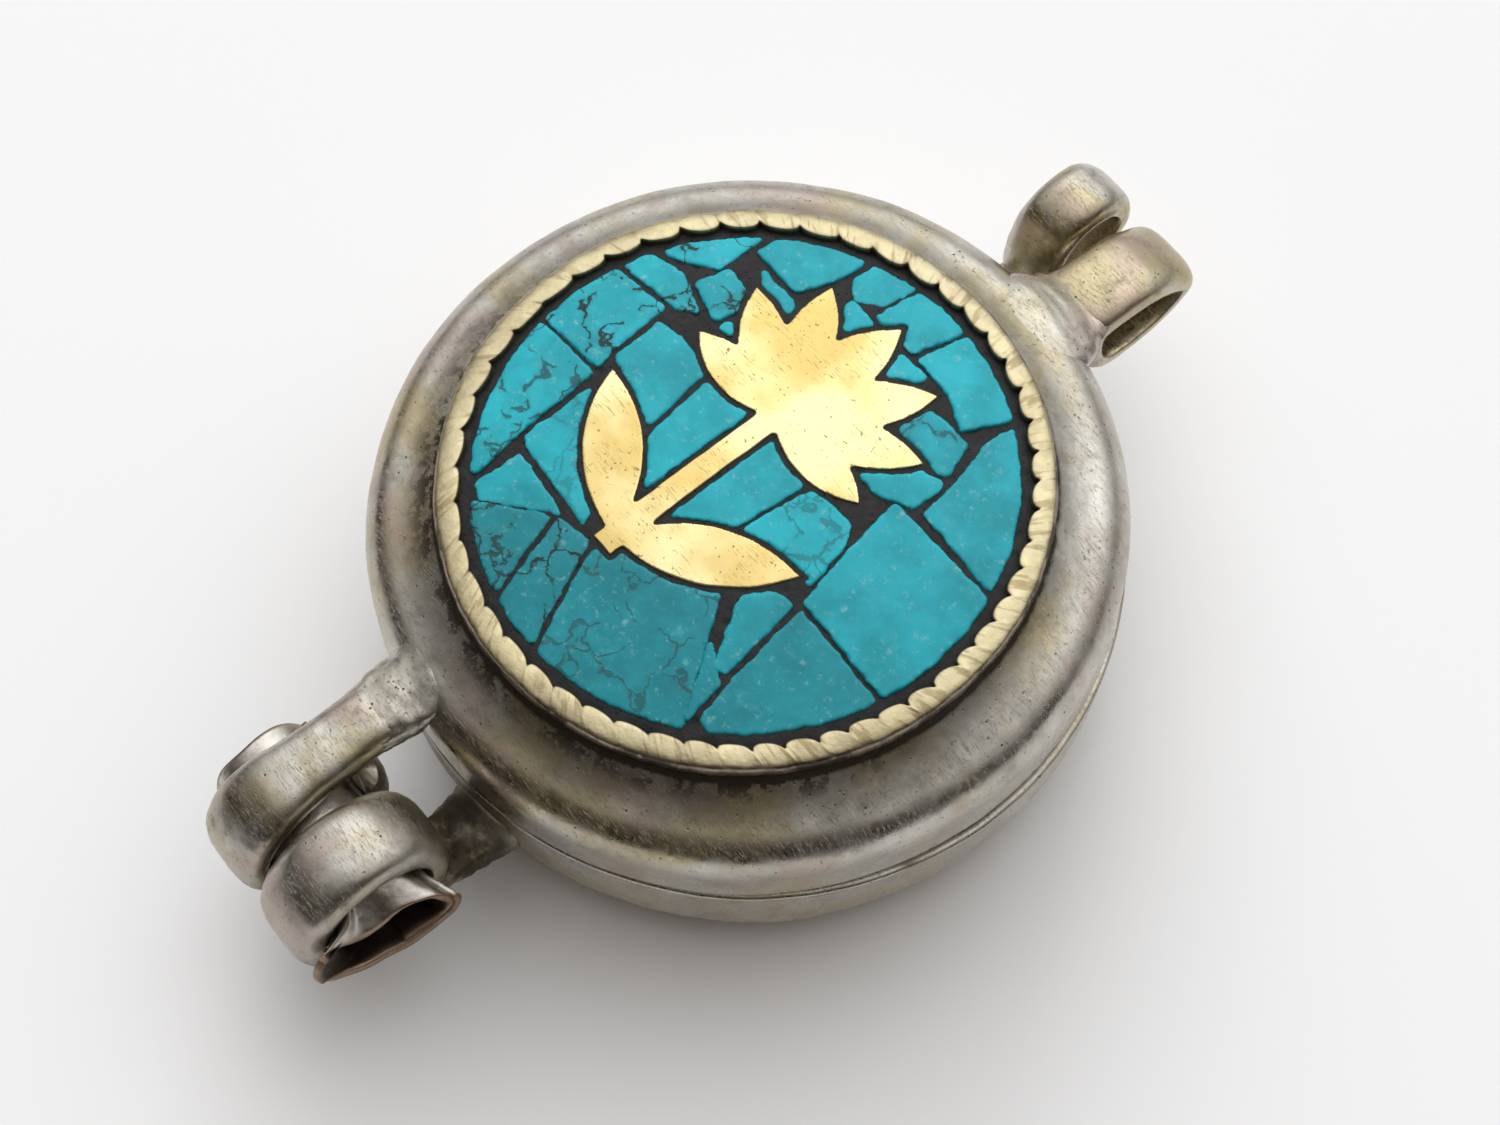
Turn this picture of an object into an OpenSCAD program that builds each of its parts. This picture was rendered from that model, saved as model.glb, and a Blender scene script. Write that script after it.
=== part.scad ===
// Round amulet box pendant (ghau): two domed metal shells on a loose hinge tube, each with a cord loop
// at its far end, and a stone mosaic set in black mastic on the front.
// The origin is the centre of the flat back that it lies on. +Z is the face's normal and +Y points
// from the hinge to the cord loops. Millimetres.

/* [Case] */
// Outside diameter of the case
case_d = 32; // [31:0.5:33]
// Depth of the back shell, from the flat back to the parting plane
back_h = 7; // [6.5:0.25:8]
// Height of the front shell, from the parting plane to the deck under the mosaic
deck_h = 5; // [4.8:0.1:5.4]
// Thickness of the shells' sheet
wall = 0.8; // [0.6:0.1:0.9]
// Gap between the two rims when closed
seam_gap = 0.2; // [0.1:0.05:0.3]
// Height of the locating band above the parting plane
band_h = 1.2; // [0.8:0.1:1.5]

/* [Mosaic] */
// Radius of the bezel wire's centre line
bezel_r = 12.2; // [12:0.1:12.4]
// Number of beads round the bezel wire
bead_count = 50; // [40:1:54]
// Height of the bezel above the deck
bezel_h = 0.9; // [0.8:0.05:1.1]
// Rise of the mosaic's dome from its edge to its centre
dome_rise = 0.9; // [0.6:0.05:1.2]
// Width of the mastic line round the brass emblem
joint_w = 0.3; // [0.2:0.05:0.4]

/* [Hinge] */
// Distance of the hinge axis from the case's rim
hinge_reach = 5.9; // [5.7:0.1:6.5]
// Outside radius of the rolled hinge tube
tube_r = 2.4; // [2.2:0.05:2.6]
// Wall of the hinge tube, two layers of rolled sheet
tube_wall = 0.5; // [0.3:0.05:0.7]
// Radial clearance of the tube in the strap rings
tube_gap = 0.05; // [0.02:0.01:0.1]
// Width of each hinge strap
strap_w = 3.7; // [3.4:0.1:3.7]
// Thickness of the hinge straps at their crown
strap_t = 1.3; // [1:0.05:1.4]

/* [Cord loops] */
// Thickness of the strip that the loops are bent from
loop_t = 0.9; // [0.7:0.05:1]
// Width of the front loop
front_loop_w = 3.7; // [3.2:0.1:3.7]
// Width of the back loop
back_loop_w = 3; // [2.6:0.1:3]

/* [Inside] */
// Diameter of the rolled paper
scroll_d = 5.5; // [4:0.25:5.5]
// Length of the rolled paper
scroll_l = 19; // [14:0.5:19]

/* [Hidden] */
$fn = 96;
// How far a cutting solid runs past what it cuts
over = 1;
case_r = case_d / 2;
part_z = back_h;
front_z = part_z + seam_gap / 2;
back_z = part_z - seam_gap / 2;
white_metal = [0.70, 0.68, 0.62];
pale_brass = [0.85, 0.77, 0.52];
black_mastic = [0.12, 0.12, 0.13];
turquoise = [0.15, 0.62, 0.68];

// Shells: a straight skirt, a round shoulder and a hollow cove on the front, a round corner on the back
skirt_h = 2.2;
shoulder_r = 1.8;
shoulder_turn = 78;
cove_r = 4;
shoulder_c = [case_r - shoulder_r, skirt_h];
cove_c = shoulder_c + (shoulder_r + cove_r) * [cos(shoulder_turn), sin(shoulder_turn)];
corner_r = 3.9;

// Locating band, soldered in the back shell and stepped in where it enters the front one
band_wall = 0.8;
band_in_r = case_r - wall - band_wall;
band_step = 0.25;
band_drop = 1.5;

// Mosaic, measured up from the parting plane
bead_r = 0.62;
wire_half_w = 0.3;
face_r = bezel_r - wire_half_w;
face_edge_rise = 0.7;
face_edge_h = deck_h + face_edge_rise;
dome_r = (face_r * face_r + dome_rise * dome_rise) / (2 * dome_rise);
mastic_drop = 0.06;
deck_z = front_z + deck_h;
rim_line_w = 0.75;
stone_rim_r = face_r - rim_line_w;
inlay_floor = 0.2;
// Taller than the dome, which cuts what is drawn this tall
inlay_h = 5;
// Facets of the dome's sphere, which is much larger than the face
dome_fn = 480;
bead_fn = 24;

// Hinge: the front strap's ring and the back strap's ring sit side by side on the tube
hinge_y = -case_r - hinge_reach;
ring_bore_r = tube_r + tube_gap;
ring_gap = 0.35;
front_strap_x = -ring_gap - strap_w / 2;
back_strap_x = strap_w / 2;
front_leg_w = 3.5;
back_leg_w = 2.9;
back_leg_shift = 0.2;
leg_l = 7.4;
leg_inset = 0.1;
tube_x = [-4.9, 4.5];

// Scroll
thread_d = 0.3;
scroll_z = wall + thread_d + scroll_d / 2;

// Cord loops: centre lines in the YZ plane, clockwise, from the case's rim and the parting plane
front_loop_x = 1.5;
back_loop_x = -2.5;
front_loop_path = [[0.9, 2.6], [3, 2.75], [5, 2.2], [6.4, 0.9], [5, -0.4], [3, -0.8], [1.3, -0.5], [0.65, 1]];
back_loop_path = [[2.1, 0.2], [2.7, 1.9], [4, 2.8], [5.6, 2.6], [6.5, 1.3], [6, -0.2], [4.3, -1.3], [2.2, -1.6]];
front_root = [[-1.6, 2.3], [1.2, 2.1], [1.2, 3.1], [-1.6, 3.2]];
back_root = [[-1, -2.9], [2.4, -2], [2.4, -1.1], [-1, -1.7]];
// How much narrower than its loop a root tab is
root_w_less = 0.3;

// Brass lotus: petals fan out from one point, and two leaves rise from the foot of the stem
bloom = [-1, 2.4];
foot = [-1, -5.9];
petals = [[90, 6.8, 2.5], [60, 6.8, 2.3], [120, 6.8, 2.3], [32, 6.4, 2.2], [148, 6.4, 2.2], [2, 5.2, 1.9],
    [178, 5.2, 1.9]];
leaves = [[37, 7.7, 2.5], [143, 7.7, 2.5]];
stem_w = 1.1;
// How far the stem runs below the foot and into the petals
stem_tail = 0.6;
stem_into_bloom = 1.4;

// Mosaic stones: corners seen from the front, from the centre of the face, clockwise from the top left.
// Those at the rim run past it, where the rim's circle cuts them.
stones = [
    [[-7.8, 7], [-5.1, 6.9], [-4.6, 9], [-4.5, 10.6], [-7.8, 9]],
    [[-4.2, 11], [-2.2, 11.4], [-2.4, 9.3], [-3.4, 8.6], [-4.1, 9.2]],
    [[-1.9, 11.5], [0.7, 11.5], [0.2, 8.8], [-2.1, 8.8]],
    [[1, 11.5], [3, 11.5], [5.1, 10.3], [4.2, 8], [2.7, 8.7], [0.6, 8.8]],
    [[5.4, 10.2], [8, 9], [10.8, 5], [10.3, 4.3], [6.1, 4.4], [5.9, 6.4], [5.3, 8.2]],
    [[5.1, 3.7], [10.4, 4], [11.8, 1], [11.8, -1.9], [6.1, -1.8], [5.5, 1.2]],
    [[6.3, -2.2], [11.8, -2.2], [10.8, -5], [8.9, -7.9], [7.2, -8], [6.8, -6]],
    [[4.1, -3.2], [5.4, -2.3], [5.9, -2.3], [6.4, -6.1], [5.9, -6.2]],
    [[4.9, -5.6], [6.6, -6.5], [6.9, -8.4], [7, -8.7]],
    [[3.5, -3.9], [7.6, -9.6], [1.2, -12], [-1.1, -6.9], [1.5, -4.6]],
    [[-3.1, -7.1], [-1.5, -6.8], [0.8, -12], [-1.6, -12]],
    [[-6.5, -9.5], [-3.4, -7.3], [-2, -12], [-5, -11.2]],
    [[-6.5, -6.5], [-3.2, -6.9], [-6, -9], [-6.7, -8.7]],
    [[-7, -2.4], [-5.6, -3], [-2.6, -5.4], [-2.3, -6.5], [-6.4, -6.1], [-7, -5.9]],
    [[-11.8, -2.2], [-7.5, -2], [-7.4, -5.4], [-7, -9.2], [-9, -7.9], [-11, -5.5]],
    [[-11.8, 1.8], [-8.1, 2.2], [-7.9, -0.6], [-7.6, -1.7], [-11.8, -1.8]],
    [[-11.4, 2.2], [-7.7, 2.6], [-7, 3.1], [-8.9, 3.9], [-11.4, 3.2]],
    [[-11.4, 3.6], [-9.4, 4.3], [-8.2, 5.2], [-8.2, 8.2], [-9.6, 8], [-11.2, 5.3]],
    [[-7.8, 5.5], [-6.9, 5.4], [-5.9, 4.9], [-6.2, 3.4], [-8.2, 4]],
    [[-5.5, 4.9], [-5.8, 3.4], [-3, 3.6], [-3, 4.4]],
    [[-5, 6.5], [-7, 6.6], [-5.2, 5.2], [-2.8, 4.8], [-3.6, 6.4]],
    [[-1.6, 8.4], [-3.4, 8.5], [-3.4, 7.4], [-2.6, 6], [-2, 6]],
    [[-0.4, 8.4], [1.4, 8.5], [1.4, 7.4], [0.6, 6], [0, 6]],
    [[4.8, 7.8], [5.4, 6.2], [3.2, 5.2], [0.8, 4.8], [1.6, 6.4], [2.8, 7.6]],
    [[5.6, 5.8], [5.7, 4.2], [4.2, 3.4], [1, 3.6], [1, 4.4]],
    [[-0.2, 1.7], [2.2, 1.6], [1.7, -3.6], [-0.2, -5.2]],
    [[2.6, 1.6], [4.7, 1.7], [5.2, 1], [5.7, -1.2], [4.8, -1.4], [2, -3]],
    [[-1.8, 1.7], [-4.1, 1.6], [-3.3, -3.6], [-1.8, -5.2]],
    [[-4.5, 1.6], [-6.3, 1.8], [-7.6, 1.6], [-7.5, -0.7], [-6.8, -1.4], [-3.8, -3]],
];

function stone_name(i) = str("turquoise_stone_", i + 1);

// Points of an arc in a plane, ends included
function arc(centre, r, from, to, steps = 10) =
    [for (i = [0 : steps]) let (a = from + (to - from) * i / steps) centre + r * [cos(a), sin(a)]];
function reverse(list) = [for (i = [len(list) - 1 : -1 : 0]) list[i]];

// A closed Catmull-Rom curve through hand-placed points
function spline(p, a, b, c, d, t) = (2 * b + (c - a) * t + (2 * a - 5 * b + 4 * c - d) * t * t
    + (3 * b - a - 3 * c + d) * t * t * t) / 2;
function smooth_loop(p, steps = 5) = let (n = len(p)) [for (i = [0 : n - 1], s = [0 : steps - 1])
    spline(p, p[(i + n - 1) % n], p[i], p[(i + 1) % n], p[(i + 2) % n], s / steps)];
function beside(p, distance) = let (n = len(p)) [for (i = [0 : n - 1])
    let (along = p[(i + 1) % n] - p[(i + n - 1) % n]) p[i] + distance * [-along.y, along.x] / norm(along)];

// Half sections of the shells, from the mouth to the axis, moved in by the thickness in
function front_section(in) = concat([[case_r - in, 0]],
    arc(shoulder_c, shoulder_r - in, 0, shoulder_turn),
    arc(cove_c, cove_r + in, 180 + shoulder_turn, 180 + asin((cove_c.y - deck_h + in) / (cove_r + in))),
    [[0, deck_h - in]]);
function back_section(in) = concat([[case_r - in, back_z]],
    arc([case_r - corner_r, corner_r], corner_r - in, 0, -90),
    [[0, in]]);

module front_solid() translate([0, 0, front_z]) rotate_extrude() polygon(concat(front_section(0), [[0, 0]]));
module back_solid() rotate_extrude() polygon(concat(back_section(0), [[0, back_z]]));

// Strap section: flat inside at x = 0, crowned outside, with thinner edges
module half_round(w, t) {
    crown = t / 2;
    r = (w * w / 4 + crown * crown) / (2 * crown);
    intersection() {
        translate([0, -w / 2]) square([t, w]);
        translate([t - r, 0]) circle(r);
    }
}

// A strap's ring round the hinge axis, and its slightly thinner leg, which leaves the ring on the +Z side
// and points to +Y
module strap(leg_w, leg_shift) {
    rotate([0, 90, 0]) rotate_extrude() translate([ring_bore_r, 0]) half_round(strap_w, strap_t);
    translate([leg_shift, leg_l, ring_bore_r + leg_inset])
        rotate([90, -90, 0]) linear_extrude(leg_l) half_round(leg_w, strap_t - 2 * leg_inset);
}

// A cord loop: a strip bent round a closed path, w wide along X, with a slightly narrower root tab
module cord_loop(path, root, w) {
    line = smooth_loop(path);
    translate([0, case_r, part_z]) rotate([90, 0, 90]) difference() {
        union() {
            linear_extrude(w, center = true) polygon(beside(line, loop_t / 2));
            linear_extrude(w - root_w_less, center = true) polygon(root);
        }
        linear_extrude(w + 2 * over, center = true) polygon(beside(line, -loop_t / 2));
    }
}

// Everything under the mosaic's domed surface, lowered by drop
module under_dome(drop = 0) {
    top = part_z + face_edge_h + dome_rise - drop;
    translate([0, 0, top - dome_r]) sphere(dome_r, $fn = dome_fn);
}

// A pointed leaf shape along +X from the origin, grown all round
module blade(length, width, grow) {
    half = width / 2;
    r = (length * length / 4 + half * half) / (2 * half);
    translate([length / 2, 0]) intersection() {
        translate([0, r - half]) circle(r + grow);
        translate([0, half - r]) circle(r + grow);
    }
}

module lotus_outline(grow = 0) {
    for (p = petals) translate(bloom) rotate(p[0]) blade(p[1], p[2], grow);
    for (l = leaves) translate(foot) rotate(l[0]) blade(l[1], l[2], grow);
    translate(foot - [stem_w / 2 + grow, stem_tail + grow])
        square([stem_w + 2 * grow, bloom.y - foot.y + stem_tail + stem_into_bloom]);
}

module back_shell() {
    color(white_metal) rotate_extrude() polygon(concat(back_section(0), reverse(back_section(wall))));
}

module locating_band() {
    outer = case_r - wall;
    color(white_metal) translate([0, 0, part_z]) rotate_extrude() polygon([
        [band_in_r, -band_drop], [outer, -band_drop], [outer, -seam_gap / 2],
        [outer - band_step, -seam_gap / 2], [outer - band_step, band_h], [band_in_r, band_h]]);
}

module back_hinge_strap() {
    color(white_metal) difference() {
        translate([back_strap_x, hinge_y, part_z]) mirror([0, 0, 1]) strap(back_leg_w, back_leg_shift);
        back_solid();
    }
}

module back_cord_loop() {
    color(white_metal) difference() {
        translate([back_loop_x, 0, 0]) cord_loop(back_loop_path, back_root, back_loop_w);
        back_solid();
    }
}

// Rolled along X, and lying on its thread on the floor of the back shell
module paper_scroll() {
    color("wheat") translate([0, 0, scroll_z]) rotate([0, 90, 0])
        cylinder(h = scroll_l, r = scroll_d / 2, center = true);
}

// Two turns of thread side by side, drawn as one band round the middle of the scroll
module scroll_thread() {
    color("firebrick") translate([0, 0, scroll_z]) rotate([0, 90, 0]) rotate_extrude()
        translate([scroll_d / 2, -thread_d]) square([thread_d, 2 * thread_d]);
}

module front_shell() {
    color(white_metal) translate([0, 0, front_z]) rotate_extrude()
        polygon(concat(front_section(0), reverse(front_section(wall))));
}

// Flattened beaded wire: a plain ring with a round lobe for each bead
module bezel_outline() {
    difference() {
        circle(bezel_r + wire_half_w);
        circle(bezel_r - wire_half_w);
    }
    for (i = [0 : bead_count - 1]) rotate(360 * i / bead_count) translate([bezel_r, 0])
        circle(bead_r, $fn = bead_fn);
}

module bezel_wire() {
    color(pale_brass) translate([0, 0, deck_z]) linear_extrude(bezel_h) bezel_outline();
}

// One domed bed with pockets for the inlaid pieces, filling the hollows between the bezel's beads
module mastic_bed() {
    color(black_mastic) difference() {
        intersection() {
            translate([0, 0, deck_z]) cylinder(h = inlay_h, r = face_r);
            under_dome(mastic_drop);
        }
        translate([0, 0, deck_z + inlay_floor]) linear_extrude(inlay_h) {
            lotus_outline();
            for (i = [0 : len(stones) - 1]) stone_outline(i);
        }
        translate([0, 0, deck_z - over]) linear_extrude(inlay_h) bezel_outline();
    }
}

// A piece let into the mastic and ground flush with the dome
module inlaid() {
    intersection() {
        translate([0, 0, deck_z + inlay_floor]) linear_extrude(inlay_h) children();
        under_dome();
    }
}

module brass_lotus() {
    color(pale_brass) inlaid() lotus_outline();
}

module stone_outline(i) {
    difference() {
        intersection() {
            polygon(stones[i]);
            circle(stone_rim_r);
        }
        lotus_outline(joint_w);
    }
}

module stone(i) {
    color(turquoise) inlaid() stone_outline(i);
}

module front_hinge_strap() {
    color(white_metal) difference() {
        translate([front_strap_x, hinge_y, part_z]) strap(front_leg_w, 0);
        front_solid();
    }
}

module front_cord_loop() {
    color(white_metal) difference() {
        translate([front_loop_x, 0, 0]) cord_loop(front_loop_path, front_root, front_loop_w);
        front_solid();
    }
}

module hinge_tube() {
    color(white_metal) translate([tube_x[0], hinge_y, part_z]) rotate([0, 90, 0]) difference() {
        cylinder(h = tube_x[1] - tube_x[0], r = tube_r);
        translate([0, 0, -over]) cylinder(h = tube_x[1] - tube_x[0] + 2 * over, r = tube_r - tube_wall);
    }
}

back_shell();
locating_band();
back_hinge_strap();
back_cord_loop();
paper_scroll();
scroll_thread();
front_shell();
bezel_wire();
mastic_bed();
brass_lotus();
front_hinge_strap();
front_cord_loop();
hinge_tube();
for (i = [0 : len(stones) - 1]) stone(i);
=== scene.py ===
import math
import random

import bmesh
import bpy
import numpy as np
from mathutils import Matrix, Vector, noise


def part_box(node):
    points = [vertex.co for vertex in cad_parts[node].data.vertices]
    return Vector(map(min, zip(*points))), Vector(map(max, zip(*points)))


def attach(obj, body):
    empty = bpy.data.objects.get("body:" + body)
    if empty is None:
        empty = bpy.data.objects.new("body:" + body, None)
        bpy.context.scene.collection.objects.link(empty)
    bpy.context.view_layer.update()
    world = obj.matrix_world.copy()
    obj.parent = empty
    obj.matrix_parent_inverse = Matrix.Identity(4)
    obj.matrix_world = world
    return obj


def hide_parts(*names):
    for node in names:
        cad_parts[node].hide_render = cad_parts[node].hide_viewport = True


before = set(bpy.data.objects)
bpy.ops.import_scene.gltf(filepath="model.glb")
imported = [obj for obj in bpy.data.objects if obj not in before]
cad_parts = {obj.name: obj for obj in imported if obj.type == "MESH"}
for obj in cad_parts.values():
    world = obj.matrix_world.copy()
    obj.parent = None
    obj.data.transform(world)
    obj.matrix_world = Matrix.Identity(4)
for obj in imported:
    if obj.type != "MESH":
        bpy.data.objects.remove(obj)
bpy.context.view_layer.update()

# Lengths are in millimetres, and each finished mesh is scaled to metres. The floor and light are in metres.
MM = 0.001


def span(node):
    """Lowest and highest corner of a CAD node, in millimetres."""
    low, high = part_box(node)
    return low / MM, high / MM


def middle_x(node):
    low, high = span(node)
    return (low.x + high.x) / 2


def width_x(node):
    low, high = span(node)
    return high.x - low.x


# ---------------------------------------------------------------- sizes, from the frame
CASE_R = span("front_shell")[1].x
DECK_Z = span("front_shell")[1].z
FRONT_Z = span("front_shell")[0].z
BACK_Z = span("back_shell")[1].z
PART_Z = (FRONT_Z + BACK_Z) / 2
TUBE_LOW, TUBE_HIGH = span("hinge_tube")
HINGE_Y = (TUBE_LOW.y + TUBE_HIGH.y) / 2
TUBE_R = (TUBE_HIGH.y - TUBE_LOW.y) / 2
FACE_TOP = span("brass_lotus")[1].z
FACE_R = span("mastic_bed")[1].x
BEAD_OUT_R = span("bezel_wire")[1].x

WALL = 0.8
SKIRT_H = 2.2
SHOULDER_R = 1.8
SHOULDER_TURN = 78
COVE_R = 4.0
CORNER_R = 3.9
DOME_RISE = 0.9
DOME_R = (FACE_R ** 2 + DOME_RISE ** 2) / (2 * DOME_RISE)
BEADS = 50


# ---------------------------------------------------------------- small tools
def wob(p, scale, seed=0.0):
    """Smooth noise from about -1 to 1 at a point."""
    return noise.noise(Vector(p) * scale + Vector((seed, 1.7 * seed, 0.3 * seed)))


def smoothstep(low, high, x):
    t = min(1.0, max(0.0, (x - low) / (high - low)))
    return t * t * (3 - 2 * t)


def arc(centre, r, start, stop, steps=24):
    """Points of an arc in a plane, ends included. Angles are in degrees."""
    turn = np.radians(np.linspace(start, stop, steps + 1))
    return np.column_stack([centre[0] + r * np.cos(turn), centre[1] + r * np.sin(turn)])


def resample(points, step, closed=False):
    """The same line with even steps."""
    p = np.asarray(points, float)
    if closed:
        p = np.vstack([p, p[:1]])
    gaps = np.linalg.norm(np.diff(p, axis=0), axis=1)
    p = p[np.concatenate([[True], gaps > 1e-6])]
    along = np.concatenate([[0], np.cumsum(np.linalg.norm(np.diff(p, axis=0), axis=1))])
    count = max(4, int(round(along[-1] / step)))
    at = np.linspace(0, along[-1], count + 1)
    line = np.column_stack([np.interp(at, along, p[:, k]) for k in range(p.shape[1])])
    return line[:-1] if closed else line


def catmull_rom(a, b, c, d):
    """Points of the smooth curve from b up to, but not including, c."""
    return [(2 * b + (c - a) * t + (2 * a - 5 * b + 4 * c - d) * t * t
             + (3 * b - a - 3 * c + d) * t ** 3) / 2 for t in np.linspace(0, 1, 16, endpoint=False)]


def smooth_line(points, step):
    """An open curve through given points."""
    p = np.asarray(points, float)
    p = np.vstack([2 * p[0] - p[1], p, 2 * p[-1] - p[-2]])
    out = []
    for i in range(1, len(p) - 2):
        out += catmull_rom(*p[i - 1 : i + 3])
    out.append(p[-2])
    return resample(out, step)


def closed_line(points, step):
    """A closed curve through given points."""
    p = np.asarray(points, float)
    out = []
    for i in range(len(p)):
        out += catmull_rom(*(p[(i + k) % len(p)] for k in (-1, 0, 1, 2)))
    return resample(out, step, closed=True)


def finish_piece(name, mesh, material, body, stands_for=()):
    """Scales a mesh in millimetres to metres and makes it a piece that rides on its body."""
    mesh.transform(Matrix.Scale(MM, 4))
    for polygon in mesh.polygons:
        polygon.use_smooth = True
    mesh.materials.clear()
    mesh.materials.append(material)
    piece = bpy.data.objects.new(name, mesh)
    bpy.context.scene.collection.objects.link(piece)
    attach(piece, body)
    if stands_for:
        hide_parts(*stands_for)
    return piece


def set_attribute(mesh, name, value):
    """One number, or a number for each point."""
    attribute = mesh.attributes.new(name, "FLOAT", "POINT")
    attribute.data.foreach_set("value", np.broadcast_to(np.float32(value), len(mesh.vertices)).copy())


def mesh_from(name, points, faces, merge=True):
    """A mesh with its faces turned outwards. merge joins points that lie on each other."""
    mesh = bpy.data.meshes.new(name)
    mesh.from_pydata([tuple(p) for p in points], [], faces)
    work = bmesh.new()
    work.from_mesh(mesh)
    if merge:
        bmesh.ops.remove_doubles(work, verts=work.verts, dist=1e-5)
    bmesh.ops.recalc_face_normals(work, faces=work.faces)
    work.to_mesh(mesh)
    work.free()
    return mesh


def grid(rows, close_rows=False, close_cols=True, caps=False):
    """Points and faces of a net of rows of points; each row may be a closed ring."""
    rows = [np.asarray(r, float) for r in rows]
    n = len(rows[0])
    points = list(np.vstack(rows))
    faces = []
    last_row = len(rows) if close_rows else len(rows) - 1
    last_col = n if close_cols else n - 1
    for i in range(last_row):
        j = (i + 1) % len(rows)
        for k in range(last_col):
            m = (k + 1) % n
            faces.append((i * n + k, i * n + m, j * n + m, j * n + k))
    if caps:
        for first in (0, (len(rows) - 1) * n):
            middle = len(points)
            points.append(np.mean(points[first : first + n], axis=0))
            faces += [(first + k, first + (k + 1) % n, middle) for k in range(n)]
    return points, faces


def lathe(section, segments, dent):
    """Turns a section of (radius, z) points round Z. dent takes radius, turn and z, and gives the point."""
    turns = np.linspace(0, 2 * math.pi, segments, endpoint=False)
    return [[dent(r, a, z) for a in turns] for r, z in section]


def polar(r, a, z):
    return (r * math.cos(a), r * math.sin(a), z)


def dome_z(x, y):
    """Height of the ground mosaic face at a point."""
    return FACE_TOP - DOME_R + math.sqrt(DOME_R ** 2 - x * x - y * y)


# ---------------------------------------------------------------- materials
class Nodes:
    """A short way to write a material's node tree. Its coordinates are the object's own, in millimetres."""

    def __init__(self, name):
        self.material = bpy.data.materials.new(name)
        self.material.use_nodes = True
        self.tree = self.material.node_tree
        self.tree.nodes.clear()
        out = self.tree.nodes.new("ShaderNodeOutputMaterial")
        self.shader = self.tree.nodes.new("ShaderNodeBsdfPrincipled")
        self.link(self.shader.outputs[0], out.inputs[0])
        place = self.tree.nodes.new("ShaderNodeTexCoord")
        self.place = self.scaled(place.outputs["Object"], (1 / MM,) * 3)

    def link(self, source, target):
        self.tree.links.new(source, target)

    def put(self, target, value):
        if isinstance(value, bpy.types.NodeSocket):
            self.link(value, target)
        elif isinstance(value, (tuple, list)) and target.type == "RGBA" and len(value) == 3:
            target.default_value = (*value, 1)
        else:
            target.default_value = value

    def scaled(self, place, scale, turn=(0, 0, 0), shift=(0, 0, 0)):
        node = self.tree.nodes.new("ShaderNodeMapping")
        self.link(place, node.inputs["Vector"])
        node.inputs["Scale"].default_value = scale
        node.inputs["Rotation"].default_value = [math.radians(t) for t in turn]
        node.inputs["Location"].default_value = shift
        return node.outputs[0]

    def moved(self, shift):
        """Coordinates moved sideways, so that two noises of one kind don't match."""
        return self.scaled(self.place, (1, 1, 1), shift=shift)

    def noise(self, scale, detail=4, rough=0.55, place=None, distort=0.0):
        node = self.tree.nodes.new("ShaderNodeTexNoise")
        self.link(place or self.place, node.inputs["Vector"])
        node.inputs["Scale"].default_value = scale
        node.inputs["Detail"].default_value = detail
        node.inputs["Roughness"].default_value = rough
        node.inputs["Distortion"].default_value = distort
        return node.outputs["Fac"]

    def cells(self, scale, feature="F1", place=None):
        node = self.tree.nodes.new("ShaderNodeTexVoronoi")
        node.feature = feature
        self.link(place or self.place, node.inputs["Vector"])
        node.inputs["Scale"].default_value = scale
        return node.outputs["Distance"]

    def ramp(self, value, low, high, to_low=0.0, to_high=1.0):
        node = self.tree.nodes.new("ShaderNodeMapRange")
        node.interpolation_type = "SMOOTHSTEP"
        self.put(node.inputs["Value"], value)
        ends = {"From Min": low, "From Max": high, "To Min": to_low, "To Max": to_high}
        for name, number in ends.items():
            self.put(node.inputs[name], number)
        return node.outputs["Result"]

    def math(self, operation, a, b=0.0):
        node = self.tree.nodes.new("ShaderNodeMath")
        node.operation = operation
        self.put(node.inputs[0], a)
        self.put(node.inputs[1], b)
        return node.outputs[0]

    def times(self, a, b):
        return self.math("MULTIPLY", a, b)

    def mix(self, share, a, b):
        node = self.tree.nodes.new("ShaderNodeMix")
        node.data_type = "RGBA"
        self.put(node.inputs[0], share)
        self.put(node.inputs[6], a)
        self.put(node.inputs[7], b)
        return node.outputs[2]

    def attribute(self, name):
        node = self.tree.nodes.new("ShaderNodeAttribute")
        node.attribute_name = name
        return node.outputs["Fac"]

    def bump(self, height, distance, strength, after=None):
        node = self.tree.nodes.new("ShaderNodeBump")
        self.put(node.inputs["Height"], height)
        node.inputs["Distance"].default_value = distance * MM
        node.inputs["Strength"].default_value = strength
        if after:
            self.link(after, node.inputs["Normal"])
        return node.outputs[0]

    def split(self, k):
        """One coordinate, in millimetres."""
        node = self.tree.nodes.new("ShaderNodeSeparateXYZ")
        self.link(self.place, node.inputs[0])
        return node.outputs[k]

    def radius(self):
        """Distance from the Z axis, in millimetres."""
        node = self.tree.nodes.new("ShaderNodeSeparateXYZ")
        self.link(self.place, node.inputs[0])
        squares = [self.times(node.outputs[k], node.outputs[k]) for k in (0, 1)]
        return self.math("SQRT", self.math("ADD", *squares))

    def set(self, **sockets):
        for name, value in sockets.items():
            self.put(self.shader.inputs[name.replace("_", " ")], value)
        return self.material


def fine_scratches(n, turns, density, thin=26.0, least=0.66):
    """Sparse hairlines in several directions, from 0 to 1. A lower least gives more of them."""
    total = 0.0
    for k, turn in enumerate(turns):
        place = n.scaled(n.place, (0.9, thin, 0.9), turn=(0, 0, turn), shift=(7.3 * k, 3.1 * k, 1.9 * k))
        line = n.ramp(n.noise(density, 2, 0.5, place), least, least + 0.05)
        total = line if k == 0 else n.math("MAXIMUM", total, line)
    return total


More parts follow.
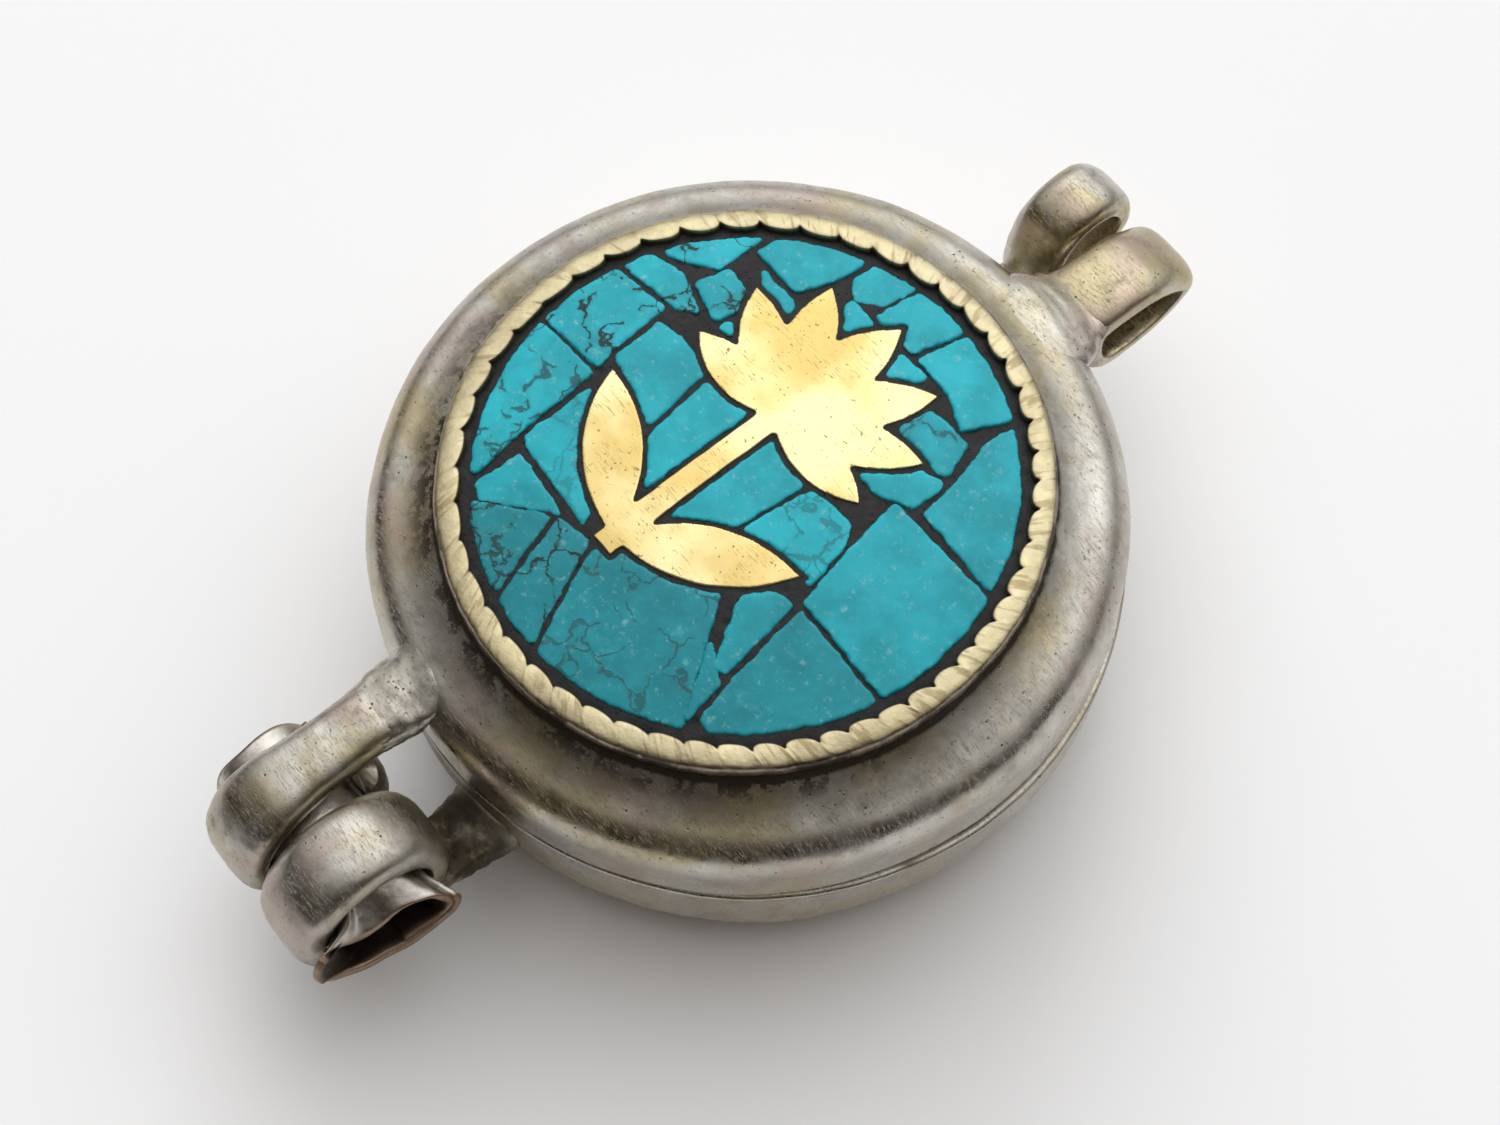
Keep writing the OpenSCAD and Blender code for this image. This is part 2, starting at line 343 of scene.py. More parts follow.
def white_metal(name, grime_and_shade_at, warm, dark):
    """Tarnished nickel silver: grey with yellow and pink stains, dark pits and hairlines.

    The second argument gives a mask of grime and painted shade, or is None. warm and dark say how strong
    the yellow stain and the dark clouds are.
    """
    n = Nodes(name)
    base = n.mix(n.ramp(n.noise(0.33, 4, 0.6), 0.35, 0.65), (0.46, 0.435, 0.38), (0.58, 0.56, 0.51))
    stain = n.ramp(n.noise(0.17, 5, 0.6, distort=0.6), 0.42, 0.60, 0.0, warm)
    colour = n.mix(stain, base, (0.47, 0.39, 0.22))
    pink = n.ramp(n.noise(0.31, 3, 0.5, n.moved((9, 4, 2))), 0.52, 0.64, 0.0, 0.5)
    colour = n.mix(pink, colour, (0.47, 0.36, 0.32))
    cloud = n.ramp(n.noise(0.8, 9, 0.7), 0.50, 0.76, 0.0, dark)
    colour = n.mix(cloud, colour, (0.17, 0.145, 0.105))
    pit_field = n.ramp(n.noise(0.9, 3), 0.36, 0.56)
    pits = n.times(n.ramp(n.cells(1.9), 0.13, 0.05), pit_field)
    specks = n.times(n.ramp(n.noise(6.5, 3, 0.6), 0.64, 0.70), pit_field)
    holes = n.math("MAXIMUM", pits, n.times(specks, 0.8))
    colour = n.mix(n.times(holes, 0.85), colour, (0.05, 0.042, 0.035))
    lines = fine_scratches(n, (12, 67, 128, 160), 1.7)
    colour = n.mix(n.times(lines, 0.3), colour, (0.60, 0.58, 0.54))
    rough = n.math("ADD", n.ramp(n.noise(1.1, 6, 0.65), 0.3, 0.72, 0.23, 0.38), n.times(cloud, 0.3))
    if grime_and_shade_at:
        # grime and painted shade from the mask, kept off the inside
        grime_and_shade = n.times(grime_and_shade_at(n), n.math("SUBTRACT", 1.0, n.attribute("inside")))
        colour = n.mix(grime_and_shade, colour, (0.030, 0.023, 0.016))
        rough = n.math("ADD", rough, n.times(grime_and_shade, 0.35))
    normal = n.bump(n.noise(0.7, 3, 0.5), 0.07, 0.4)
    normal = n.bump(n.noise(4.0, 4, 0.6), 0.012, 0.4, normal)
    normal = n.bump(n.math("SUBTRACT", n.times(lines, -0.3), holes), 0.03, 0.6, normal)
    return n.set(Base_Color=colour, Metallic=1.0, Roughness=rough, Normal=normal)


def grime_and_shade_by_bezel(n):
    """Grime on the front shell: black under the bezel, brown and patchy down the cove by the hinge; patina
    and painted shade on the camera's side.
    """
    r = n.radius()
    patch = n.ramp(n.noise(0.9, 8, 0.72), 0.46, 0.55)
    near = n.times(n.ramp(r, 14.5, 13.0), patch)
    hinge_side = n.ramp(n.split(1), 4.0, -8.0, 0.25, 0.9)
    streak = n.times(n.ramp(n.noise(0.5, 7, 0.7), 0.46, 0.66), n.ramp(r, 15.2, 13.8))
    wide = n.times(n.math("MAXIMUM", near, n.times(streak, 0.6)), hinge_side)
    tight = n.times(n.ramp(r, 13.05, 12.75), n.ramp(n.noise(0.8, 4), 0.25, 0.5, 0.55, 1.0))
    # brown patina and painted shade, heavier on the side facing the camera
    near_side = n.math("SUBTRACT", n.times(n.split(0), 0.6), n.times(n.split(1), 0.8))
    near_patina_and_shade = n.times(n.ramp(near_side, 1.0, 11.0, 0.0, 0.56), n.ramp(r, 15.5, 14.3))
    near_patina_and_shade = n.times(near_patina_and_shade, n.ramp(n.noise(0.35, 4, 0.6), 0.3, 0.6, 0.6, 1.0))
    return n.math("MINIMUM", n.math("ADD", n.math("MAXIMUM", wide, near_patina_and_shade), tight), 0.94)


def darkening_and_shadow_by_hinge(n):
    """Patchy dark brown on the hinge side where the straps leave the case, stronger towards the bottom, and
    painted shadow at the front strap's root.
    """
    side = n.ramp(n.split(1), -14.8, -16.6)
    low = n.ramp(n.split(2), 7.5, 5.0, 0.12, 0.85)
    front = n.times(n.ramp(n.split(1), 0.0, -8.0), n.ramp(n.split(2), 7.2, 8.0))
    # painted shadow where the front strap and its solder meet the case
    root_shadow = n.times(n.ramp(n.radius(), 16.0, 14.9, 0.0, 0.6), front)
    mask = n.math("MAXIMUM", n.times(side, low), root_shadow)
    return n.times(mask, n.ramp(n.noise(0.7, 6, 0.65), 0.3, 0.55, 0.45, 1.0))


def brass_material(name, polish):
    """Polished brass with hairlines, a few pits and a slow drift of colour."""
    n = Nodes(name)
    drift = n.noise(0.16, 3, 0.5)
    colour = n.mix(n.ramp(drift, 0.42, 0.62), (0.80, 0.68, 0.35), (0.60, 0.44, 0.15))
    pits = n.ramp(n.noise(4.2, 3, 0.6), 0.64, 0.70)
    lines = fine_scratches(n, (20, 38, 75, 118, 150), 1.5, 15.0, 0.655)
    lines = n.times(lines, n.ramp(n.noise(0.45, 3), 0.46, 0.56, 0.1, 1.0))
    colour = n.mix(n.times(pits, 0.8), colour, (0.13, 0.09, 0.04))
    colour = n.mix(n.times(lines, 0.75), colour, (0.22, 0.155, 0.06))
    rough = n.ramp(n.noise(1.1, 5, 0.6), 0.3, 0.7, polish, polish + 0.16)
    normal = n.bump(n.noise(0.5, 4), 0.05, 0.4)
    normal = n.bump(n.math("ADD", lines, pits), 0.008, -0.6, normal)
    return n.set(Base_Color=colour, Metallic=0.82, Roughness=rough, Normal=normal)


def filed_brass(name):
    """The bezel: pale brass crossed by file marks, painted shade in the notches and at its feet, black
    grime down its outside.
    """
    n = Nodes(name)
    place = n.tree.nodes.new("ShaderNodeCombineXYZ")
    n.link(n.attribute("along"), place.inputs[0])
    n.link(n.attribute("across"), place.inputs[1])
    filed = n.scaled(place.outputs[0], (1, 0.16, 1), turn=(0, 0, 24))
    marks = n.ramp(n.noise(2.6, 3, 0.6, filed), 0.50, 0.60)
    marks = n.times(marks, n.ramp(n.noise(0.30, 3), 0.36, 0.50, 0.25, 1.0))
    colour = n.mix(n.noise(0.6, 4), (0.60, 0.52, 0.285), (0.53, 0.47, 0.335))
    dull = n.ramp(n.noise(0.28, 3, 0.5, n.moved((5, 2, 0))), 0.45, 0.62, 0.0, 0.6)
    colour = n.mix(dull, colour, (0.44, 0.37, 0.23))
    colour = n.mix(n.times(marks, 0.6), colour, (0.24, 0.17, 0.07))
    flank = n.ramp(n.attribute("across"), 11.85, 12.0)
    colour = n.mix(n.times(flank, 0.75), colour, (0.36, 0.295, 0.255))
    soot = n.times(flank, n.ramp(n.noise(0.6, 6, 0.65), 0.48, 0.58, 0.0, 0.85))
    colour = n.mix(soot, colour, (0.05, 0.04, 0.03))
    # painted shade in the notches and at the wire's feet
    notch_and_foot_shade = n.times(n.attribute("notch_and_foot_shade"), n.ramp(n.noise(2.5, 5), 0.2, 0.6, 0.4, 1.0))
    colour = n.mix(n.times(notch_and_foot_shade, 0.88), colour, (0.08, 0.06, 0.04))
    rough = n.math("ADD", n.ramp(n.noise(2.2, 4), 0.3, 0.7, 0.27, 0.42), n.times(notch_and_foot_shade, 0.25))
    normal = n.bump(marks, 0.04, -0.7)
    normal = n.bump(n.noise(2.4, 5, 0.6), 0.06, 0.5, normal)
    return n.set(Base_Color=colour, Metallic=1.0, Roughness=rough, Normal=normal)


def turquoise_material(name):
    """Waxy blue-green stone with soft pale flecks and, where a stone is veined, a dark brown net."""
    n = Nodes(name)
    tone_and_near_shade, veined = n.attribute("tone_and_near_shade"), n.attribute("veined")
    colour = n.mix(n.ramp(n.noise(0.40, 5, 0.6), 0.35, 0.65), (0.004, 0.355, 0.425), (0.012, 0.490, 0.590))
    # darker teal: each stone's own tone, and painted shade on the near side
    colour = n.mix(tone_and_near_shade, colour, (0.001, 0.075, 0.092))
    cloud = n.ramp(n.noise(0.9, 7, 0.72), 0.54, 0.74, 0.0, 0.45)
    colour = n.mix(cloud, colour, (0.08, 0.47, 0.53))
    crumbs = n.ramp(n.cells(1.5, place=n.scaled(n.place, (1, 0.7, 1), turn=(0, 0, 40))), 0.30, 0.10)
    sparse = n.times(crumbs, n.ramp(n.noise(0.75, 3), 0.50, 0.60))
    ragged = n.times(sparse, n.ramp(n.noise(4.5, 4, 0.7), 0.42, 0.60, 0.0, 0.55))
    colour = n.mix(ragged, colour, (0.30, 0.60, 0.62))
    flecks = n.ramp(n.noise(3.6, 4, 0.7, n.moved((3, 8, 1))), 0.58, 0.69, 0.0, 0.42)
    colour = n.mix(flecks, colour, (0.28, 0.56, 0.58))
    drift = n.tree.nodes.new("ShaderNodeTexNoise")
    drift.inputs["Scale"].default_value = 0.55
    drift.inputs["Detail"].default_value = 6
    n.link(n.place, drift.inputs["Vector"])
    bent = n.tree.nodes.new("ShaderNodeVectorMath")
    bent.operation = "MULTIPLY_ADD"
    n.link(drift.outputs["Color"], bent.inputs[0])
    bent.inputs[1].default_value = (3.2, 3.2, 3.2)
    n.link(n.place, bent.inputs[2])
    edge = n.cells(0.42, "DISTANCE_TO_EDGE", bent.outputs[0])
    width = n.ramp(n.noise(1.3, 4), 0.35, 0.7, 0.008, 0.045)
    away = n.math("DIVIDE", edge, width)
    shown = n.times(veined, n.ramp(n.noise(0.8, 3), 0.40, 0.47))
    web = n.times(n.ramp(away, 1.3, 0.7), shown)
    halo = n.times(n.ramp(away, 5.0, 1.0, 0.0, 0.35), shown)
    colour = n.mix(halo, colour, (0.03, 0.12, 0.12))
    colour = n.mix(n.times(web, 0.9), colour, (0.018, 0.020, 0.016))
    rough = n.math("ADD", n.ramp(n.noise(2.0, 4), 0.3, 0.7, 0.24, 0.38), n.times(web, 0.25))
    normal = n.bump(n.noise(1.6, 4), 0.015, 0.35)
    normal = n.bump(n.times(web, -1.0), 0.03, 0.6, normal)
    return n.set(Base_Color=colour, Roughness=rough, Normal=normal, Specular_IOR_Level=0.28)


def mastic_material(name):
    """Charcoal filler, ground flush: satin, with pores and pale dust."""
    n = Nodes(name)
    colour = n.mix(n.noise(0.9, 5), (0.010, 0.010, 0.011), (0.030, 0.029, 0.031))
    dust = n.ramp(n.noise(5.0, 4, 0.7), 0.62, 0.76, 0.0, 0.25)
    colour = n.mix(dust, colour, (0.17, 0.165, 0.16))
    pores = n.ramp(n.cells(3.2), 0.15, 0.05)
    colour = n.mix(pores, colour, (0.006, 0.006, 0.006))
    rough = n.ramp(n.noise(2.5, 4), 0.3, 0.7, 0.38, 0.62)
    normal = n.bump(n.noise(2.8, 6, 0.7), 0.10, 0.7)
    normal = n.bump(n.times(pores, -1.0), 0.05, 0.8, normal)
    return n.set(Base_Color=colour, Roughness=rough, Specular_IOR_Level=0.25, Normal=normal)


def sheet_material(name):
    """The rolled tube: tarnished white metal outside, coppery brown at the torn edges, and near-black
    painted shade in the bore.
    """
    n = Nodes(name)
    edge = n.attribute("edge")
    bore = n.attribute("bore")
    cloud = n.ramp(n.noise(1.0, 8, 0.65), 0.45, 0.7, 0.0, 0.5)
    colour = n.mix(cloud, (0.56, 0.53, 0.48), (0.22, 0.18, 0.14))
    # painted shade inside the roll
    colour = n.mix(n.times(bore, 0.96), colour, (0.040, 0.026, 0.020))
    copper = n.mix(n.noise(2.0, 4), (0.40, 0.28, 0.20), (0.24, 0.165, 0.12))
    colour = n.mix(edge, colour, copper)
    rough = n.math("ADD", n.ramp(n.noise(2.0, 5), 0.3, 0.7, 0.28, 0.5), n.times(bore, 0.2))
    normal = n.bump(n.noise(1.2, 6, 0.6), 0.1, 0.5)
    return n.set(Base_Color=colour, Metallic=1.0, Roughness=rough, Normal=normal)


def paper_material(name):
    n = Nodes(name)
    fibre = n.noise(2.4, 6, 0.7, n.scaled(n.place, (0.5, 2.0, 2.0)))
    colour = n.mix(fibre, (0.50, 0.38, 0.21), (0.68, 0.56, 0.36))
    colour = n.mix(n.ramp(n.noise(0.5, 4), 0.5, 0.75, 0.0, 0.5), colour, (0.36, 0.25, 0.12))
    return n.set(Base_Color=colour, Roughness=0.85, Normal=n.bump(fibre, 0.08, 0.6))


def thread_material(name):
    n = Nodes(name)
    ply = n.tree.nodes.new("ShaderNodeTexWave")
    ply.inputs["Scale"].default_value = 2.4
    n.link(n.scaled(n.place, (1.0, 1.0, 1.0), turn=(0, 35, 25)), ply.inputs["Vector"])
    colour = n.mix(ply.outputs["Fac"], (0.20, 0.012, 0.010), (0.42, 0.035, 0.025))
    return n.set(Base_Color=colour, Roughness=0.9, Normal=n.bump(ply.outputs["Fac"], 0.05, 0.7))


METAL_FRONT = white_metal("front_metal", grime_and_shade_by_bezel, 0.75, 0.42)
METAL_BACK = white_metal("back_metal", darkening_and_shadow_by_hinge, 0.6, 0.45)
METAL_STRAP = white_metal("strap_metal", darkening_and_shadow_by_hinge, 0.85, 0.75)
METAL_SOLDER = white_metal("solder_metal", darkening_and_shadow_by_hinge, 0.4, 0.75)
METAL_PLAIN = white_metal("plain_metal", None, 0.3, 0.3)
BRASS = brass_material("emblem_brass", 0.13)
BEZEL = filed_brass("bezel_brass")
STONE = turquoise_material("turquoise")
MASTIC = mastic_material("mastic")
SHEET = sheet_material("rolled_sheet")
PAPER = paper_material("paper")
THREAD = thread_material("thread")


# ---------------------------------------------------------------- camera, floor and light
def aim_camera():
    """A hand-held view from above the hinge's right."""
    azimuth = math.radians(55.0)
    elevation = math.radians(65.68)
    roll = math.radians(-4.08)
    distance = 111.083
    move_right = -0.0213
    move_up = -1.1733
    back = Vector((math.sin(azimuth) * math.cos(elevation), -math.cos(azimuth) * math.cos(elevation),
                   math.sin(elevation)))
    level = Vector((math.cos(azimuth), math.sin(azimuth), 0))
    above = back.cross(level)
    place = level * move_right + above * move_up + back * distance + Vector((0, 0, PART_Z))
    right = level * math.cos(roll) + above * math.sin(roll)
    up = above * math.cos(roll) - level * math.sin(roll)
    data = bpy.data.cameras.new("camera")
    data.lens = 62.4
    data.sensor_width = 36
    data.clip_start = 0.005
    data.clip_end = 5
    camera = bpy.data.objects.new("camera", data)
    camera.matrix_world = Matrix.Translation(place * MM) @ Matrix((right, up, back)).transposed().to_4x4()
    bpy.context.scene.collection.objects.link(camera)
    bpy.context.scene.camera = camera


def window_light():
    """A soft window beyond the object, as the camera sees it. The metal mirrors the world, not this."""
    place = (-0.55, 0.38, 0.33)
    data = bpy.data.lights.new("window", "AREA")
    data.shape = "RECTANGLE"
    data.size = 0.50
    data.size_y = 0.40
    data.energy = 2.3
    light = bpy.data.objects.new("window", data)
    light.location = place
    light.rotation_mode = "QUATERNION"
    light.rotation_quaternion = Vector(place).to_track_quat("Z", "Y")
    light.visible_glossy = False
    bpy.context.scene.collection.objects.link(light)


def white_floor():
    half = 2.0
    mesh = bpy.data.meshes.new("floor")
    corners = [(-half, -half, 0), (half, -half, 0), (half, half, 0), (-half, half, 0)]
    mesh.from_pydata(corners, [], [(0, 1, 2, 3)])
    mesh.materials.append(Nodes("floor_paper").set(Base_Color=(0.97, 0.97, 0.98), Roughness=0.8))
    floor = bpy.data.objects.new("floor", mesh)
    bpy.context.scene.collection.objects.link(floor)


def bright_room():
    """A world that is bright on the window's side, dark on the camera's and dimmer low down."""
    to_window = Vector((-0.36, 0.58, 0.73)).normalized()
    world = bpy.data.worlds.new("studio")
    world.use_nodes = True
    tree = world.node_tree
    place = tree.nodes.new("ShaderNodeTexCoord")
    turn = tree.nodes.new("ShaderNodeVectorMath")
    turn.operation = "DOT_PRODUCT"
    turn.inputs[1].default_value = to_window
    tree.links.new(place.outputs["Generated"], turn.inputs[0])
    ramp = tree.nodes.new("ShaderNodeValToRGB")
    stops = [(0.0, (0.032, 0.026, 0.021)), (0.25, (0.055, 0.043, 0.034)), (0.52, (0.36, 0.345, 0.33)),
             (0.80, (0.66, 0.66, 0.66)), (0.965, (0.985, 0.995, 1.0))]
    while len(ramp.color_ramp.elements) < len(stops):
        ramp.color_ramp.elements.new(0.5)
    for element, (position, colour) in zip(ramp.color_ramp.elements, stops):
        element.position = position
        element.color = (*colour, 1)
    tree.links.new(turn.outputs["Value"], ramp.inputs[0])
    background = tree.nodes["Background"]
    tree.links.new(ramp.outputs[0], background.inputs[0])
    height = tree.nodes.new("ShaderNodeSeparateXYZ")
    tree.links.new(place.outputs["Generated"], height.inputs[0])
    fade = tree.nodes.new("ShaderNodeMapRange")
    fade.inputs["From Max"].default_value = 0.65
    fade.inputs["To Min"].default_value = 0.35
    fade.inputs["To Max"].default_value = 2.02
    tree.links.new(height.outputs["Z"], fade.inputs["Value"])
    tree.links.new(fade.outputs[0], background.inputs[1])
    bpy.context.scene.world = world


def build_studio():
    white_floor()
    window_light()
    bright_room()
    bpy.context.scene.view_settings.view_transform = "Standard"


# ---------------------------------------------------------------- the two shells and the band
SHELL_FACETS = 288
SKIN_STEP = 0.22
LINING_STEP = 0.45
BAND_FACETS = 192
MOUTH_ROUND = 0.14
DENT_DEPTH = 0.07


def front_section(inset):
    """Half section of the front shell, from the mouth to the axis."""
    shoulder = (CASE_R - SHOULDER_R, FRONT_Z + SKIRT_H)
    turn = math.radians(SHOULDER_TURN)
    reach = SHOULDER_R + COVE_R
    cove = (shoulder[0] + reach * math.cos(turn), shoulder[1] + reach * math.sin(turn))
    end = 180 + math.degrees(math.asin((cove[1] - DECK_Z + inset) / (COVE_R + inset)))
    return np.vstack([
        [[CASE_R - inset, FRONT_Z]],
        arc(shoulder, SHOULDER_R - inset, 0, SHOULDER_TURN),
        arc(cove, COVE_R + inset, 180 + SHOULDER_TURN, end),
        [[0.02, DECK_Z - inset]]])


def back_section(inset):
    return np.vstack([
        [[CASE_R - inset, BACK_Z]],
        arc((CASE_R - CORNER_R, CORNER_R), CORNER_R - inset, 0, -90),
        [[0.02, inset]]])


def shell_section(half_section, mouth_turn):
    """Closed section with a rounded mouth edge: outer skin, axis, inner skin."""
    outer = resample(half_section(0), SKIN_STEP)
    inner = resample(half_section(WALL), LINING_STEP)[::-1]
    outer[0, 1] += mouth_turn * MOUTH_ROUND
    inner[-1, 1] += mouth_turn * MOUTH_ROUND
    edge_z = outer[0, 1] - mouth_turn * MOUTH_ROUND
    lip = [(CASE_R - WALL + 0.25, edge_z), (CASE_R - WALL * 0.5, edge_z), (CASE_R - 0.22, edge_z),
           (CASE_R - 0.06, edge_z + mouth_turn * 0.05)]
    return np.vstack([outer, inner, lip])


def hand_worked(depth, gap_side):
    """A dent function for hand-raised sheet. gap_side is the mouth's z move where the halves don't meet."""
    def dent(r, a, z):
        x, y, _ = polar(r, a, z)
        p = (x, y, z)
        push = depth * (wob(p, 0.17, 3.0) + 0.45 * wob(p, 0.5, 9.0) + 0.2 * wob(p, 1.3, 5.0))
        outward = smoothstep(6, 14, r)
        r += push * outward
        mouth = math.exp(-((z - PART_Z) / 0.6) ** 2)
        gap = math.exp(-((a - math.radians(8) + math.pi) % (2 * math.pi) - math.pi) ** 2 / 0.55)
        r += mouth * gap * max(0.0, -gap_side)
        z += mouth * (gap_side * gap + 0.03 * wob((math.cos(a), math.sin(a), 0), 5.0, depth))
        return polar(r, a, max(0.0, z + push * (1 - outward) * 0.6))
    return dent


def build_shells():
    for name, node, section, turn, gap, body, metal in (
            ("front_dome", "front_shell", front_section, 1, 0.16, "front_half", METAL_FRONT),
            ("back_dish", "back_shell", back_section, -1, -0.26, "back_half", METAL_BACK)):
        profile = shell_section(section, turn)
        rows = lathe(profile, SHELL_FACETS, hand_worked(DENT_DEPTH, gap))
        mesh = mesh_from(name, *grid(rows, close_rows=True))
        inside = np.arange(len(profile)) >= len(resample(section(0), SKIN_STEP))
        set_attribute(mesh, "inside", np.repeat(inside, SHELL_FACETS))
        finish_piece(name, mesh, metal, body, [node])


def build_band():
    """The locating band, in the dish's mouth. Its upper edge stands up into the front half."""
    low, high = span("locating_band")
    inner = high.x - WALL
    foot = high.x - 0.04
    step_in = high.x - 0.25
    corners = [(inner, low.z), (foot, low.z), (foot, BACK_Z - 0.05), (step_in, BACK_Z + 0.05),
               (step_in, high.z - 0.1), (step_in - 0.1, high.z), (inner + 0.1, high.z),
               (inner, high.z - 0.1)]
    rows = lathe(resample(corners, 0.2, closed=True), BAND_FACETS,
                 lambda r, a, z: polar(r + 0.03 * wob(polar(1, a, 0), 4.0), a, z))
    finish_piece("mouth_band", mesh_from("mouth_band", *grid(rows, close_rows=True)),
                 METAL_PLAIN, "back_half", ["locating_band"])


# ---------------------------------------------------------------- half-round straps and loops
RING_IN_R = TUBE_R + 0.1
STRAP_T = 1.25
STRAP_W = width_x("back_hinge_strap")
HINGE = np.array([HINGE_Y, PART_Z])
LOOP_T = 1.12
STRAP_STEP = 0.14
LOOP_STEP = 0.12
# How far the back strap's root is to the +X side of its ring
BACK_ROOT_SHIFT = 0.2
# Centre line of each cord loop: distance from the case's rim and height over the parting plane
FRONT_LOOP = [(0.9, 2.6), (3, 2.75), (5, 2.2), (6.4, 0.9), (5, -0.4), (3, -0.8), (1.3, -0.5), (0.65, 1)]
BACK_LOOP = [(2.1, 0.2), (2.7, 1.9), (4, 2.8), (5.6, 2.6), (6.5, 1.3), (6, -0.2), (4.3, -1.3), (2.2, -1.6)]


def strip_section():
    """Across the strip from -1 to 1, and up from its flat inner face at 0 to its crown at 1."""
    section = []
    for a in np.linspace(0, 2 * math.pi, 30, endpoint=False):
        c, s = math.cos(a), math.sin(a)
        across = math.copysign(abs(c) ** 0.62, c)
        up = 0.26 + 0.74 * abs(s) ** 0.9 if s >= 0 else 0.26 - 0.26 * abs(s) ** 0.35
        section.append((across, up))
    return section


def left_of(ahead):
    """Unit directions to the left of a line's own directions, in the YZ plane."""
    ahead = ahead / np.linalg.norm(ahead, axis=1)[:, None]
    return np.column_stack([-ahead[:, 1], ahead[:, 0]])


def strip_row(at, crown, middle, half, thick, hammering):
    """One ring of a half-round strip. at and crown are (y, z), and middle and half are its place in X."""
    row = []
    for across, up in strip_section():
        x = middle + half * across
        y = at[0] + crown[0] * thick * up
        z = at[1] + crown[1] * thick * up
        bump = hammering((x, y, z), up)
        row.append((x + 0.5 * bump * across, y + crown[0] * bump, z + crown[1] * bump))
    return row


def bend_strip(name, line, width, thick, middle, seed, body, node):
    """A half-round strip whose inner face follows a line in the YZ plane, its crown on the line's left.

    width, thick and middle take the share of the way along.
    """
    def hammering(p, up):
        return (0.07 * wob(p, 0.55, seed) + 0.03 * wob(p, 1.8, seed)) * (0.25 + 0.75 * up)

    crowns = left_of(np.gradient(line, axis=0))
    rows = []
    for i, at in enumerate(line):
        share = i / (len(line) - 1)
        rows.append(strip_row(at, crowns[i], middle(share), width(share) / 2, thick(share), hammering))
    mesh = mesh_from(name, *grid(rows, caps=True))
    finish_piece(name, mesh, METAL_STRAP, body, [node])


def bend_loop(name, points, seed, body, node):
    """A half-round strip bent to a closed loop, crown outwards, from clockwise points."""
    def hammering(p, _):
        return 0.05 * wob(p, 0.5, seed) + 0.02 * wob(p, 1.7, seed)

    line = closed_line(np.array(points) + [CASE_R, PART_Z], LOOP_STEP)
    crowns = left_of(np.roll(line, -1, axis=0) - np.roll(line, 1, axis=0))
    line = line - crowns * LOOP_T / 2
    middle = middle_x(node)
    half = width_x(node) / 2
    rows = [strip_row(at, crown, middle, half, LOOP_T, hammering) for at, crown in zip(line, crowns)]
    mesh = mesh_from(name, *grid(rows, close_rows=True))
    finish_piece(name, mesh, METAL_STRAP, body, [node])


def build_straps():
    front_x = middle_x("front_hinge_strap")
    back_x = middle_x("back_hinge_strap")
    leg = smooth_line([(-15.15, 9.75), (-15.7, 9.74), (-16.6, 9.67), (-18.4, 9.58),
                       (-20.4, PART_Z + RING_IN_R + 0.02)], STRAP_STEP)
    front = np.vstack([leg, arc(HINGE, RING_IN_R, 84, 384, 90)])
    bend_strip("front_strap", resample(front, STRAP_STEP)[::-1],
               lambda s: STRAP_W * (0.97 - 0.19 * smoothstep(0.55, 0.76, s)),
               lambda s: STRAP_T * (1 - 0.62 * smoothstep(0.86, 1.0, s)),
               lambda s: front_x, 2.0, "front_half", "front_hinge_strap")
    back = np.vstack([[HINGE + np.array([6.6, -RING_IN_R])], arc(HINGE, RING_IN_R, 270, -26, 90)])
    bend_strip("back_strap", resample(back, STRAP_STEP),
               lambda s: STRAP_W * (0.78 + 0.22 * smoothstep(0.12, 0.32, s)),
               lambda s: STRAP_T * (1.0 + 0.06 * smoothstep(0.3, 0.6, s)),
               lambda s: back_x + BACK_ROOT_SHIFT * (1 - smoothstep(0.12, 0.32, s)),
               5.0, "back_half", "back_hinge_strap")
    bend_loop("front_loop", FRONT_LOOP, 11.0, "front_half", "front_cord_loop")
    bend_loop("back_loop", BACK_LOOP, 14.0, "back_half", "back_cord_loop")


# ---------------------------------------------------------------- bezel, mastic, stones and emblem
BEAD_PITCH = 2 * math.pi / BEADS
BEAD_STEPS = 18
BEZEL_IN_R = 11.60
BEZEL_MID_R = 12.2


def wire_section(inner, outer):
    """Radius, height and painted shade round the wire, from its inner foot over the top to its outer foot.
    """
    top = 0.90
    return [(inner + 0.05, -0.02, 1.0), (inner, 0.45, 1.0), (inner + 0.01, top - 0.09, 0.7),
            (inner + 0.06, top - 0.02, 0.2), (inner + 0.16, top, 0.0),
            ((inner + outer) / 2, top - 0.03, 0.0), (outer - 0.28, 0.80, 0.0),
            (outer - 0.12, 0.73, 0.1), (outer - 0.03, 0.60, 0.3), (outer, 0.36, 0.5),
            (outer - 0.02, 0.14, 0.9), (outer - 0.04, -0.02, 1.0)]


def bead_joint(k):
    """Turn at which bead k starts; hand-cut beads aren't quite even."""
    drift = 0.17 * math.sin(k * BEAD_PITCH - math.pi)
    return k * BEAD_PITCH + drift + 0.13 * BEAD_PITCH * wob((k * 1.37, 0, 0), 1.0, 4.0)


